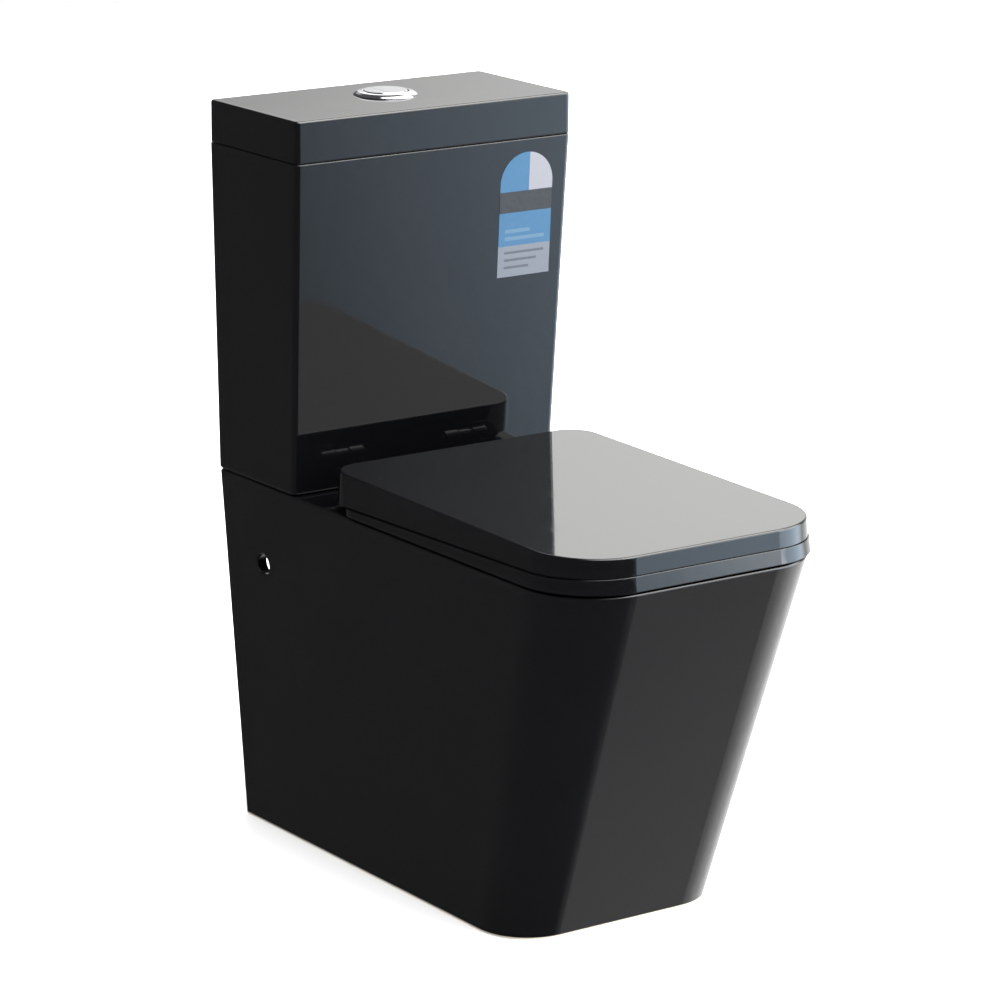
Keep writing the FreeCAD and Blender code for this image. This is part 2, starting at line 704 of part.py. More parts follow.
def make_tank():
    body = new_body("cistern_tank")
    past_wall = wall_y + 1
    outline_loft(body, "Additive", "tank", [
        tank_section(tank_foot, S.tank_edge, past_wall),
        tank_section(tank_foot + S.tank_edge, 0, past_wall),
        tank_section(tank_top, 0, past_wall)])
    trim = new_sketch(body, "flat_back_outline", "XZ_Plane", -wall_y)
    draw_box(trim, -S.cistern_lid_width, S.cistern_lid_width, tank_foot - PAST, tank_top + PAST)
    pocket(body, "flat_back", trim, PAST)
    inner_rear = wall_y - S.cistern_wall
    outline_loft(body, "Subtractive", "tank_hollow", [
        tank_section(tank_floor, S.cistern_wall, inner_rear),
        tank_section(tank_top + 1, S.cistern_wall, inner_rear)])
    holes = new_sketch(body, "tank_hole_circles", "XY_Plane", tank_floor)
    draw_circle(holes, 0, valve_y, S.flush_hole_radius)
    for side in (-1, 1):
        draw_circle(holes, side * S.bolt_offset, valve_y, S.bolt_radius + S.bolt_hole_clearance)
    draw_circle(holes, -S.inlet_offset, valve_y, S.inlet_shank_radius + S.bolt_hole_clearance)
    pocket(body, "tank_holes", holes, S.cistern_floor + PAST)
    return body


def make_cistern_lid():
    body = new_body("cistern_lid")
    outline = new_sketch(body, "lid_outline", "XY_Plane", lid_foot)
    draw_outline(outline, S.cistern_lid_width / 2, behind(S.cistern_lid_depth), wall_y,
                 S.cistern_corner, S.cistern_corner)
    shell = pad(body, "lid_shell", outline, S.cistern_lid_height)
    edges = level_edges(shell, S.cistern_top.value)
    shell = round_edges(body, "lid_top_edge", shell, edges, S.cistern_fillet)
    edges = level_edges(shell, lid_foot.value)
    round_edges(body, "lid_foot_edge", shell, edges, S.lid_groove, "Chamfer")
    hollow = new_sketch(body, "lid_hollow_outline", "XY_Plane", lid_foot)
    draw_outline(hollow, S.cistern_lid_width / 2 - S.cistern_wall,
                 behind(S.cistern_lid_depth - S.cistern_wall), wall_y - S.cistern_wall,
                 S.cistern_corner, S.cistern_corner)
    pocket(body, "lid_hollow", hollow, S.cistern_lid_height - S.cistern_wall, reverse=True)
    ribs = new_sketch(body, "rib_outlines", "XY_Plane", lid_under)
    inner = S.cistern_lid_width / 2 - S.cistern_wall - S.rib_clearance
    front = behind(S.cistern_lid_depth - S.cistern_wall - S.rib_clearance)
    rear = wall_y - S.cistern_wall - S.rib_clearance
    rib_from_centre = S.cistern_lid_width * 0.3
    for side in (-1, 1):
        outer_x = side * inner
        inner_x = side * (inner - 5)
        low, high = (outer_x, inner_x) if side < 0 else (inner_x, outer_x)
        draw_box(ribs, low, high, valve_y - 14, valve_y + 14)
        for y_low, y_high in ((front, front + 5), (rear - 5, rear)):
            centre = side * rib_from_centre
            draw_box(ribs, centre - 12, centre + 12, y_low, y_high)
    pad(body, "locating_ribs", ribs, S.cistern_lid_height - S.cistern_wall + S.rib_drop,
        reverse=True)
    hole = new_sketch(body, "button_hole_circle", "XY_Plane", S.cistern_top)
    draw_circle(hole, 0, valve_y, sleeve_radius + S.button_gap)
    pocket(body, "button_hole", hole, S.cistern_wall + 1)
    return body


def make_label():
    """A thin arched label that lies on the cistern's leaning front."""
    body = new_body("rating_label")
    sketch = new_sketch(body, "label_outline", "XZ_Plane")
    radius = S.label_width / 2
    straight = S.label_height - radius
    right, top = S.label_width.value, straight.value
    corners = [V(0, top, 0), V(0, 0, 0), V(right, 0, 0), V(right, top, 0)]
    for start, end in zip(corners, corners[1:]):
        sketch.addGeometry(Part.LineSegment(start, end))
    arch = Part.Circle(V(radius.value, top, 0), V(0, 0, 1), radius.value)
    sketch.addGeometry(Part.ArcOfCircle(arch, 0, math.pi))
    for joint in ((0, 2, 1, 1), (1, 2, 2, 1)):
        sketch.addConstraint(Sketcher.Constraint("Coincident", *joint))
    for joint in ((2, 2, 3, 1), (3, 2, 0, 1)):
        sketch.addConstraint(Sketcher.Constraint("Tangent", *joint))
    sketch.addConstraint(Sketcher.Constraint("Coincident", 1, 1, -1, 1))
    for line, kind in ((0, "Vertical"), (1, "Horizontal"), (2, "Vertical")):
        sketch.addConstraint(Sketcher.Constraint(kind, line))
    dimension(sketch, "DistanceX", (1, 1, 1, 2), S.label_width)
    dimension(sketch, "DistanceY", (0, 2, 0, 1), straight)
    pad(body, "label", sketch, S.label_thickness)
    run = S.cistern_lid_depth - S.cistern_base_depth
    rise = tank_top - tank_foot
    depth = S.cistern_base_depth + run * (S.label_bottom - tank_foot) / rise
    body.Placement = FreeCAD.Placement(V(0, 0, 0), FreeCAD.Rotation(V(1, 0, 0), 1))
    body.setExpression("Placement.Rotation.Angle", f"atan({(run / rise).text})")
    return put(body, S.label_left, behind(depth), S.label_bottom)


def make_pads():
    half = S.cistern_base_width / 2
    outer = half - S.pad_inset
    strip = block("cistern_pad_right", outer - S.pad_width, outer,
                  behind(S.cistern_base_depth - 25), behind(25), S.rim_height, tank_foot)
    return pair("cistern_pads", strip)


# ---- flush valve ----

valve_flange = 6
washer_between = 3
inlet_nut_radius = S.inlet_shank_radius + 8


def make_flush_valve_body():
    """Threaded tail, flange and raised seat, with a windowed cage above."""
    body = new_body("flush_valve_body")
    base = tank_floor + washer_between
    flange_top = base + valve_flange
    cage_top = flange_top + S.cage_height
    inner = S.cage_radius - S.cage_wall
    guide = S.overflow_radius + S.button_gap
    revolve(body, "valve_shell", [
        (S.tail_bore, tank_foot - S.tail_drop), (S.tail_radius, tank_foot - S.tail_drop),
        (S.tail_radius, base), (S.valve_flange_radius, base),
        (S.valve_flange_radius, flange_top), (S.cage_radius, flange_top),
        (S.cage_radius, cage_top), (guide, cage_top), (guide, cage_top - S.cage_wall),
        (inner, cage_top - S.cage_wall), (inner, flange_top),
        (S.tail_bore + 4, flange_top), (S.tail_bore + 4, flange_top + 4),
        (S.tail_bore, flange_top + 4)])
    window = new_sketch(body, "window_outline", "XZ_Plane")
    draw_box(window, -24, 24, flange_top + 6, flange_top + 60)
    doc.recompute()
    opening = pocket(body, "cage_window", window, S.cage_radius + PAST)
    turns = body.newObject("PartDesign::PolarPattern", "cage_windows")
    turns.Originals = [opening]
    turns.Axis = (opening.Profile[0], ["V_Axis"])
    turns.Angle = 360
    turns.Occurrences = 4
    body.Tip = turns
    return put(body, 0, valve_y, 0)


def make_bridge():
    """Two uprights on the cage that carry the levers' pin."""
    foot = tank_floor + washer_between + valve_flange + S.cage_height
    head = S.lever_height + 5
    inside = S.lever_offset + S.lever_width / 2 + 1.5
    uprights = []
    for side, label in ((-1, "front"), (1, "rear")):
        near = side * inside
        far = side * (inside + 4)
        low, high = (far, near) if side < 0 else (near, far)
        plate = block(f"bridge_{label}", as_size(-7), as_size(7), valve_y + low,
                      valve_y + high, foot, head)
        hole = cylinder(f"bridge_hole_{label}", S.lever_pin_radius, S.cage_radius * 2, 0,
                        valve_y - S.cage_radius, S.lever_height, "y")
        uprights.append(cut(f"bridge_upright_{label}", plate, [hole]))
    return group("lever_bridge", uprights)


def make_overflow_tube():
    """Overflow tube with its seal plate and the hook that the full flush lever lifts."""
    base = tank_floor + washer_between + valve_flange
    seal_foot = base + 4 + S.seal_lift_gap
    plate_foot = seal_foot + 3
    bore = S.overflow_radius - S.overflow_wall
    tube = cylinder("tube_outside", S.overflow_radius, S.overflow_top - plate_foot, 0, valve_y,
                    plate_foot)
    plate = cylinder("tube_plate", S.seal_radius - 2, 4, 0, valve_y, plate_foot)
    hole = cylinder("tube_bore", bore, S.overflow_top - plate_foot, 0, valve_y, plate_foot)
    near = S.lever_offset - S.lever_width / 2
    far = S.lever_offset + S.lever_width / 2
    out = -(S.lever_arm + 3.5)
    hook_under = S.lever_height + 1.5 + 0.8
    arm = block("hook_arm", out, -bore, valve_y + near, valve_y + far, as_size(690),
                as_size(694))
    strip = block("hook_strip", out, out + 2.5, valve_y + near, valve_y + far, as_size(690),
                  hook_under + 2.5)
    finger = block("hook_finger", out, out + 9, valve_y + near, valve_y + far, hook_under,
                   hook_under + 2.5)
    whole = fuse("overflow_tube_solid", [tube, plate, arm, strip, finger])
    return cut("overflow_tube", whole, [hole])


def make_valve_seal():
    seal_foot = tank_floor + washer_between + valve_flange + 4 + S.seal_lift_gap
    bore = S.overflow_radius - S.overflow_wall
    return washer("flush_valve_seal", S.seal_radius, bore, 3, 0, valve_y, seal_foot)


def make_lever(name, side, clearance):
    """A rocking lever, one arm under its push rod and one under the tube's hook."""
    y_low = valve_y + side * S.lever_offset - S.lever_width / 2
    bar = block(f"{name}_bar", -S.lever_arm, S.lever_arm, y_low, y_low + S.lever_width,
                S.lever_height - 1.5, S.lever_height + 1.5)
    hub = cylinder(f"{name}_hub", 4, S.lever_width, 0, y_low, S.lever_height, "y")
    hole = cylinder(f"{name}_hole", S.lever_pin_radius + clearance, S.lever_width, 0, y_low,
                    S.lever_height, "y")
    return cut(name, fuse(f"{name}_solid", [bar, hub]), [hole])


def make_push_rod(name, side):
    """A rod from a button down to its lever."""
    foot = S.lever_height + 1.5 + S.rod_gap
    head = S.cistern_top + S.bezel_height + S.button_proud - 4
    return cylinder(name, S.rod_radius, head - foot, side * S.rod_offset,
                    valve_y + side * S.lever_offset, foot)


def make_backnut():
    foot = tank_foot - S.backnut_height
    return cut("flush_valve_backnut",
               prism("backnut_hexagon", S.backnut_radius, S.backnut_height, 0, valve_y, foot),
               [cylinder("backnut_hole", S.tail_radius, S.backnut_height, 0, valve_y, foot)])


def make_gasket():
    """Soft ring over the backnut that fills the pan's recess."""
    height = tank_foot - recess_floor
    ring = cylinder("gasket_ring", S.recess_radius - 1, height, 0, valve_y, recess_floor)
    hole = cylinder("gasket_hole", S.tail_radius + 1, height, 0, valve_y, recess_floor)
    pocket_foot = tank_foot - S.backnut_height
    nut_room = cylinder("gasket_nut_room", S.backnut_radius + 0.5, S.backnut_height, 0, valve_y,
                        pocket_foot)
    return cut("coupling_gasket", ring, [hole, nut_room])


# ---- inlet valve ----

inlet_x = -S.inlet_offset
inlet_flange = 4


def make_inlet_tail():
    flange_foot = tank_floor + washer_between
    foot = tank_foot - S.inlet_tail_drop
    nut_foot = tank_foot - S.inlet_locknut_height
    tail = cylinder("inlet_tail_outside", S.inlet_tail_radius, nut_foot - foot, inlet_x,
                    valve_y, foot)
    shank = cylinder("inlet_shank", S.inlet_shank_radius, flange_foot - nut_foot, inlet_x,
                     valve_y, nut_foot)
    flange = cylinder("inlet_tail_flange", 20, inlet_flange, inlet_x, valve_y, flange_foot)
    hole = cylinder("inlet_tail_bore", 6, flange_foot - foot + inlet_flange, inlet_x, valve_y,
                    foot)
    return cut("inlet_tail", fuse("inlet_tail_solid", [tail, shank, flange]), [hole])


def make_inlet_body():
    foot = tank_floor + washer_between + inlet_flange
    stem = cylinder("inlet_stem", S.stem_radius, S.stem_top - foot, inlet_x, valve_y, foot)
    head = cylinder("inlet_head", 22, 34, inlet_x, valve_y, S.stem_top)
    cap = cylinder("inlet_cap", 17, 6, inlet_x, valve_y, S.stem_top + 34)
    bore = cylinder("inlet_stem_bore", 6, S.stem_top - foot + 20, inlet_x, valve_y, foot)
    ear = block("inlet_ear", inlet_x + 12, inlet_x + 22, valve_y + 3.5, valve_y + 7.5,
                S.stem_top + 20, S.float_lever_height + 5)
    ear_front = block("inlet_ear_front", inlet_x + 12, inlet_x + 22, valve_y - 7.5,
                      valve_y - 3.5, S.stem_top + 20, S.float_lever_height + 5)
    pin_hole = cylinder("inlet_pin_hole", S.lever_pin_radius, 30, inlet_x + 17, valve_y - 15,
                        S.float_lever_height, "y")
    whole = fuse("inlet_valve_solid", [stem, head, cap, ear, ear_front])
    return cut("inlet_valve_body", whole, [bore, pin_hole])


def make_float_cup():
    """A cup, open below, that slides on the stem."""
    cup = cylinder("float_outside", S.float_radius, S.float_height, inlet_x, valve_y,
                   S.float_bottom)
    bore = cylinder("float_bore", S.stem_radius + 1.5, S.float_height, inlet_x, valve_y,
                    S.float_bottom)
    hollow = cut("float_hollow",
                 cylinder("float_hollow_outside", S.float_radius - 2, S.float_height - 3,
                          inlet_x, valve_y, S.float_bottom),
                 [cylinder("float_hollow_core", S.stem_radius + 4, S.float_height - 3, inlet_x,
                           valve_y, S.float_bottom)])
    return cut("float_cup", cup, [bore, hollow])


def make_float_link():
    """A thin upright on the float cup that works the float lever."""
    foot = S.float_bottom + S.float_height
    head = S.float_lever_height + 6.5 - 0.4
    return cylinder("float_link", 1.6, head - foot, inlet_x - 26, valve_y, foot)


def make_float_lever():
    bar = block("float_lever_bar", inlet_x - 29, inlet_x + 17, valve_y - 3, valve_y + 3,
                S.float_lever_height + 6.5, S.float_lever_height + 9.5)
    hub = cylinder("float_lever_hub", 4.5, 6, inlet_x + 17, valve_y - 3, S.float_lever_height,
                   "y")
    web = block("float_lever_web", inlet_x + 13.5, inlet_x + 20, valve_y - 3, valve_y + 3,
                S.float_lever_height, S.float_lever_height + 9.5)
    hole = cylinder("float_lever_hole", S.lever_pin_radius + 0.05, 6, inlet_x + 17, valve_y - 3,
                    S.float_lever_height, "y")
    return cut("float_lever", fuse("float_lever_solid", [bar, hub, web]), [hole])


# ---- bolts that hold the cistern down ----

def make_cistern_bolts():
    stack = tank_floor + S.washer_thickness + S.plate_thickness
    foot = deck_under - 32
    shank = cylinder("cistern_bolt_shank", S.bolt_radius, stack - foot, S.bolt_offset, valve_y,
                     foot)
    head = prism("cistern_bolt_head", 9, 6, S.bolt_offset, valve_y, stack)
    return pair("cistern_bolts", fuse("cistern_bolt", [shank, head]))


def make_wing_nut(name, x, y, top, spread):
    """A hub with two wings, screwed up from below; the wings lie along spread."""
    foot = top - S.nut_height
    hub = cylinder(f"{name}_hub", S.nut_radius, S.nut_height, x, y, foot)
    reach = S.nut_radius + 8
    if spread == "x":
        wings = block(f"{name}_wings", x - reach, x + reach, y - 1.5, y + 1.5, foot, top - 2)
    else:
        wings = block(f"{name}_wings", x - 1.5, x + 1.5, y - reach, y + reach, foot, top - 2)
    hole = cylinder(f"{name}_hole", S.bolt_radius, S.nut_height, x, y, foot)
    return cut(name, fuse(f"{name}_solid", [hub, wings]), [hole])


# ---- buttons ----

bezel_bore = S.button_radius + S.button_gap
sleeve_radius = bezel_bore + S.sleeve_wall
bezel_radius = sleeve_radius + S.bezel_flange
button_top = S.cistern_top + S.bezel_height + S.button_proud


def make_bezel():
    """Domed ring on the lid with a threaded sleeve below it."""
    body = new_body("button_bezel")
    top = S.cistern_top + S.bezel_height
    revolve(body, "bezel", [
        (bezel_bore, top - 1), (bezel_bore + 1, top), (sleeve_radius + 2, top - 0.3),
        (bezel_radius - 1.5, top - 2), (bezel_radius, S.cistern_top + 0.6),
        (bezel_radius, S.cistern_top), (sleeve_radius, S.cistern_top),
        (sleeve_radius, lid_under - 20), (bezel_bore, lid_under - 20)])
    return put(body, 0, valve_y, 0)


def make_bezel_nut():
    foot = lid_under - 8
    return cut("bezel_nut", prism("bezel_nut_prism", sleeve_radius + 11.5, 8, 0, valve_y, foot, 8),
               [cylinder("bezel_nut_hole", sleeve_radius, 8, 0, valve_y, foot)])


def make_button_guide():
    """Plate in the foot of the sleeve that guides the rods and carries the springs."""
    foot = lid_under - 24
    plate = cylinder("guide_plate", sleeve_radius + 2, 4, 0, valve_y, foot)
    holes = [cylinder(f"guide_hole_{label}", S.rod_radius + 0.5, 4, side * S.rod_offset,
                      valve_y + side * S.lever_offset, foot)
             for side, label in ((-1, "half"), (1, "full"))]
    return cut("button_guide", plate, holes)


def make_button(name, side):
    """One part of the round dual button: a cap with a skirt, hollow below."""
    cap_thickness = 4
    skirt = 12
    whole = cylinder(f"{name}_disc", S.button_radius, skirt, 0, valve_y, button_top - skirt)
    edge = doc.addObject("Part::Chamfer", f"{name}_edge")
    edge.Base = whole
    doc.recompute()
    rim = [i for i, item in enumerate(whole.Shape.Edges, start=1)
           if item.BoundBox.ZMin > button_top.value - 0.01]
    edge.Edges = [(i, 0.8, 0.8) for i in rim]
    hollow = cylinder(f"{name}_hollow", S.button_radius - 2, skirt - cap_thickness, 0, valve_y,
                      button_top - skirt)
    cup = cut(f"{name}_cup", edge, [hollow])
    line = S.button_split + side * S.button_gap / 2
    far = side * (S.button_radius + 1)
    low, high = (line, far) if side > 0 else (far, line)
    keep = block(f"{name}_side", low, high, valve_y - S.button_radius - 1,
                 valve_y + S.button_radius + 1, button_top - skirt, button_top)
    socket = cylinder(f"{name}_socket", S.rod_radius + 2, skirt - cap_thickness,
                      side * S.rod_offset, valve_y + side * S.lever_offset, button_top - skirt)
    rod_room = cylinder(f"{name}_rod_room", S.rod_radius, skirt - cap_thickness,
                        side * S.rod_offset, valve_y + side * S.lever_offset,
                        button_top - skirt)
    return cut(name, fuse(f"{name}_solid", [common(f"{name}_half", cup, keep), socket]),
               [rod_room])


def make_button_spring(name, side):
    """A small coil spring round a push rod, between the guide and the button's socket."""
    foot = lid_under - 20 + 0.6
    head = button_top - 12 - 0.6
    helix = doc.addObject("Part::Helix", f"{name}_line")
    bind(helix, "Radius", S.rod_radius + 1.6)
    bind(helix, "Height", head - foot)
    bind(helix, "Pitch", (head - foot) / SPRING_TURNS)
    helix.SegmentLength = 1
    put(helix, side * S.rod_offset, valve_y + side * S.lever_offset, foot)
    wire = doc.addObject("Part::Circle", f"{name}_wire")
    bind(wire, "Radius", 0.5)
    wire.Placement = FreeCAD.Placement(V(0, 0, 0), FreeCAD.Rotation(V(1, 0, 0), 90))
    put(wire, side * S.rod_offset + S.rod_radius + 1.6, valve_y + side * S.lever_offset, foot)
    sweep = doc.addObject("Part::Sweep", name)
    sweep.Label = name
    sweep.Sections = [wire]
    doc.recompute()
    turns = [f"Edge{i}" for i in range(1, len(helix.Shape.Edges) + 1)]
    sweep.Spine = (helix, turns)
    sweep.Solid = True
    sweep.Frenet = True
    return sweep


# ---- seat and seat lid ----

seat_half = S.pan_width / 2 + S.seat_overhang
seat_foot = S.rim_height + S.seat_gap
seat_front = -wall_y


def slope_wedge(body, name, front_height, rear_height, above):
    """Take away everything above, or below, a line that slopes from front to rear."""
    y_front = behind(S.overall_depth + PAST)
    y_rear = behind(S.lid_rear - PAST)
    run = S.overall_depth - S.lid_rear
    fall = (rear_height - front_height) / run
    z_front = front_height - fall * PAST
    z_rear = rear_height + fall * PAST
    limit = as_size(600.0) if above else as_size(380.0)
    sketch = new_sketch(body, f"{name}_outline", "YZ_Plane")
    draw_polygon(sketch, [(y_front, z_front), (y_rear, z_rear), (y_rear, limit),
                          (y_front, limit)])
    return pocket(body, name, sketch, S.pan_width + 2 * PAST, both=True)


def make_seat_ring():
    body = new_body("seat_ring")
    top_half = seat_half - S.seat_flare
    outline_loft(body, "Additive", "seat_edge", [
        (seat_foot, seat_half, seat_front, behind(S.seat_rear), S.seat_corner,
         S.seat_rear_corner),
        (seat_top, top_half, seat_front + S.seat_flare, behind(S.seat_rear),
         S.seat_corner - S.seat_flare, S.seat_rear_corner - S.seat_flare)])
    slope_wedge(body, "seam_slope", seam_front - S.seam_gap, seam_rear - S.seam_gap, True)
    step = S.seat_flare + S.lid_flare + S.lid_wall + S.crown_clearance
    crown = new_sketch(body, "crown_outline", "XY_Plane", seat_foot + 2)
    draw_outline(crown, seat_half - step, seat_front + step, behind(S.seat_rear + step),
                 S.seat_corner - step, S.seat_rear_corner - step)
    crown_pad = pad(body, "crown", crown, seat_top - seat_foot - 2)
    edges = level_edges(crown_pad, seat_top.value)
    round_edges(body, "crown_edge", crown_pad, edges, as_size(5))
    mouth = new_sketch(body, "seat_opening_outline", "XY_Plane", seat_top)
    draw_outline(mouth, S.seat_opening_half_width, seat_front + S.seat_front_width,
                 behind(S.seat_opening_rear), S.seat_opening_half_width - 4,
                 S.seat_opening_half_width - 14)
    opening = pocket(body, "seat_opening", mouth, seat_top - seat_foot + 1)
    edges = level_edges(opening, seat_top.value,
                        lambda box: box.YMin > seat_front.value + S.seat_front_width.value - 1
                        and box.YMax < behind(S.seat_opening_rear).value + 1)
    round_edges(body, "opening_edge", opening, edges, as_size(7))
    slots = new_sketch(body, "blade_slots", "XZ_Plane", -behind(S.seat_rear - 1))
    for side in (-1, 1):
        near = side * seat_blade_near
        far = side * seat_blade_far
        low, high = (far, near) if side < 0 else (near, far)
        draw_box(slots, low, high, hinge_height - 7, hinge_height)
    pocket(body, "blade_slot_cut", slots, blade_reach + 1, reverse=True)
    screws = new_sketch(body, "seat_screw_circles", "XY_Plane", seat_foot)
    heads = new_sketch(body, "seat_screw_heads", "XY_Plane", seat_foot)
    for side in (-1, 1):
        x = side * (seat_blade_near + seat_blade_far) / 2
        draw_circle(screws, x, seat_screw_y, 2)
        draw_circle(heads, x, seat_screw_y, 4)
    pocket(body, "seat_screw_holes", screws, 20, reverse=True)
    pocket(body, "seat_screw_sinks", heads, 4, reverse=True)
    return body


def make_seat_lid():
    body = new_body("seat_lid")
    foot = seam_rear - 3
    head = lid_rear_top + 3
    lower_half = seat_half - S.seat_flare
    upper_half = lower_half - S.lid_flare
    front = seat_front + S.seat_flare / 2
    outline_loft(body, "Additive", "lid_block", [
        (foot, lower_half, front, behind(S.lid_rear), S.seat_corner - 2, S.seat_rear_corner),
        (head, upper_half, front + S.lid_flare, behind(S.lid_rear),
         S.seat_corner - S.lid_flare - 2, S.seat_rear_corner - S.lid_flare)])
    top = slope_wedge(body, "lid_top_slope", lid_front_top, lid_rear_top, True)
    doc.recompute()
    upper = []
    for i, edge in enumerate(top.Shape.Edges, start=1):
        box = edge.BoundBox
        if box.ZMin > lid_front_top.value - 1 and box.ZMax - box.ZMin < 8:
            upper.append(f"Edge{i}")
    round_edges(body, "lid_top_edge", top, upper, S.lid_fillet)
    hollow = new_sketch(body, "lid_hollow_outline", "XY_Plane", lid_ceiling)
    draw_outline(hollow, upper_half - S.lid_wall, front + S.lid_flare + S.lid_wall,
                 behind(S.lid_rear + S.lid_wall), S.seat_corner - S.lid_flare - S.lid_wall - 2,
                 S.seat_rear_corner - S.lid_wall - S.lid_flare)
    pocket(body, "lid_hollow", hollow, lid_ceiling - foot + 1)
    slope_wedge(body, "lid_foot_slope", seam_front, seam_rear, False)
    notches = new_sketch(body, "hinge_notches", "XZ_Plane", -behind(S.lid_rear - 1))
    for side in (-1, 1):
        near = side * (seat_blade_near - 2)
        far = side * (lid_blade_far + 2)
        low, high = (far, near) if side < 0 else (near, far)
        draw_box(notches, low, high, seam_rear - PAST, lid_ceiling)
    pocket(body, "hinge_notch_cut", notches, S.lid_wall + 3, reverse=True)
    screws = new_sketch(body, "lid_screw_circles", "XY_Plane", lid_ceiling)
    for side in (-1, 1):
        draw_circle(screws, side * (lid_blade_near + lid_blade_far) / 2, lid_screw_y, 2)
    pocket(body, "lid_screw_holes", screws, 6, reverse=True)
    return body


# The seat's blades are inside the posts, the lid's outside them.
seat_blade_far = S.hinge_offset - S.post_half_width - S.barrel_side_gap
seat_blade_near = seat_blade_far - S.barrel_length
lid_blade_near = S.hinge_offset + S.post_half_width + S.barrel_side_gap
lid_blade_far = lid_blade_near + S.barrel_length
blade_reach = 34
seat_screw_y = behind(S.seat_rear + 20)
lid_screw_y = behind(S.lid_rear + S.lid_screw_from_rear)
lid_blade_foot = lid_ceiling - S.lid_blade_thickness


def make_hinge_posts():
    """A round foot on the deck with a blade that holds the pin."""
    foot = cylinder("post_foot", S.hinge_base_radius, S.hinge_base_height, S.hinge_offset,
                    hinge_y, S.rim_height)
    x_low = S.hinge_offset - S.post_half_width
    blade = block("post_blade", x_low, S.hinge_offset + S.post_half_width,
                  hinge_y - S.post_radius, hinge_y + S.post_radius,
                  S.rim_height + S.hinge_base_height, hinge_height)
    head = cylinder("post_head", S.post_radius, 2 * S.post_half_width, x_low, hinge_y,
                    hinge_height, "x")
    pin_hole = cylinder("post_pin_hole", S.hinge_pin_radius, 2 * S.post_half_width, x_low,
                        hinge_y, hinge_height, "x")
    bolt_hole = cylinder("post_bolt_hole", S.bolt_radius, S.hinge_base_height, S.hinge_offset,
                         hinge_y, S.rim_height)
    return pair("hinge_posts", cut("hinge_post", fuse("hinge_post_solid", [foot, blade, head]),
                                   [pin_hole, bolt_hole]))


def make_hinge_pins():
    low = seat_blade_near - 1
    return pair("hinge_pins", cylinder("hinge_pin", S.hinge_pin_radius, lid_blade_far + 1 - low,
                                       low, hinge_y, hinge_height, "x"))


def make_blades(name, x_near, x_far, z_low, z_high, rear_reach, screw_y):
    """A barrel on the pin with a flat blade that runs forward to its screw."""
    barrel = cylinder(f"{name}_barrel", S.barrel_radius, x_far - x_near, x_near, hinge_y,
                      hinge_height, "x")
    blade = block(f"{name}_blade", x_near, x_far, behind(rear_reach), hinge_y, z_low, z_high)
    bore = cylinder(f"{name}_bore", S.hinge_pin_radius + S.hinge_pin_clearance,
                    x_far - x_near, x_near, hinge_y, hinge_height, "x")
    screw = cylinder(f"{name}_screw_hole", 2, z_high - z_low, (x_near + x_far) / 2, screw_y,
                     z_low)
    return pair(name, cut(f"{name}_right", fuse(f"{name}_solid", [barrel, blade]),
                          [bore, screw]))


def make_screws(name, x, y, z_head, head_height, z_tip, head_below=True):
    """A small screw driven up from below, with a flat head."""
    head = cylinder(f"{name}_head", 3.8, head_height, x, y, z_head)
    shank = cylinder(f"{name}_shank", 2, z_tip - z_head - head_height, x, y,
                     z_head + head_height)
    return pair(name, fuse(f"{name}_right", [head, shank]))


def make_hinge_bolts():
    """Studs from the hinge posts down through the deck."""
    foot = deck_under - 32
    return pair("hinge_bolts", cylinder("hinge_bolt", S.bolt_radius,
                                        S.rim_height + S.hinge_base_height - foot,
                                        S.hinge_offset, hinge_y, foot))


def make_bumpers(name, radius, height, z, x_out, y_front, y_rear):
    """Four small rubber feet."""
    feet = []
    for label, side, y in (("front_left", -1, y_front), ("front_right", 1, y_front),
                           ("rear_left", -1, y_rear), ("rear_right", 1, y_rear)):
        feet.append(cone(f"{name}_{label}", radius - 1, radius, height, side * x_out, y, z))
    return group(name, feet)


# ---- the sub-parts ----

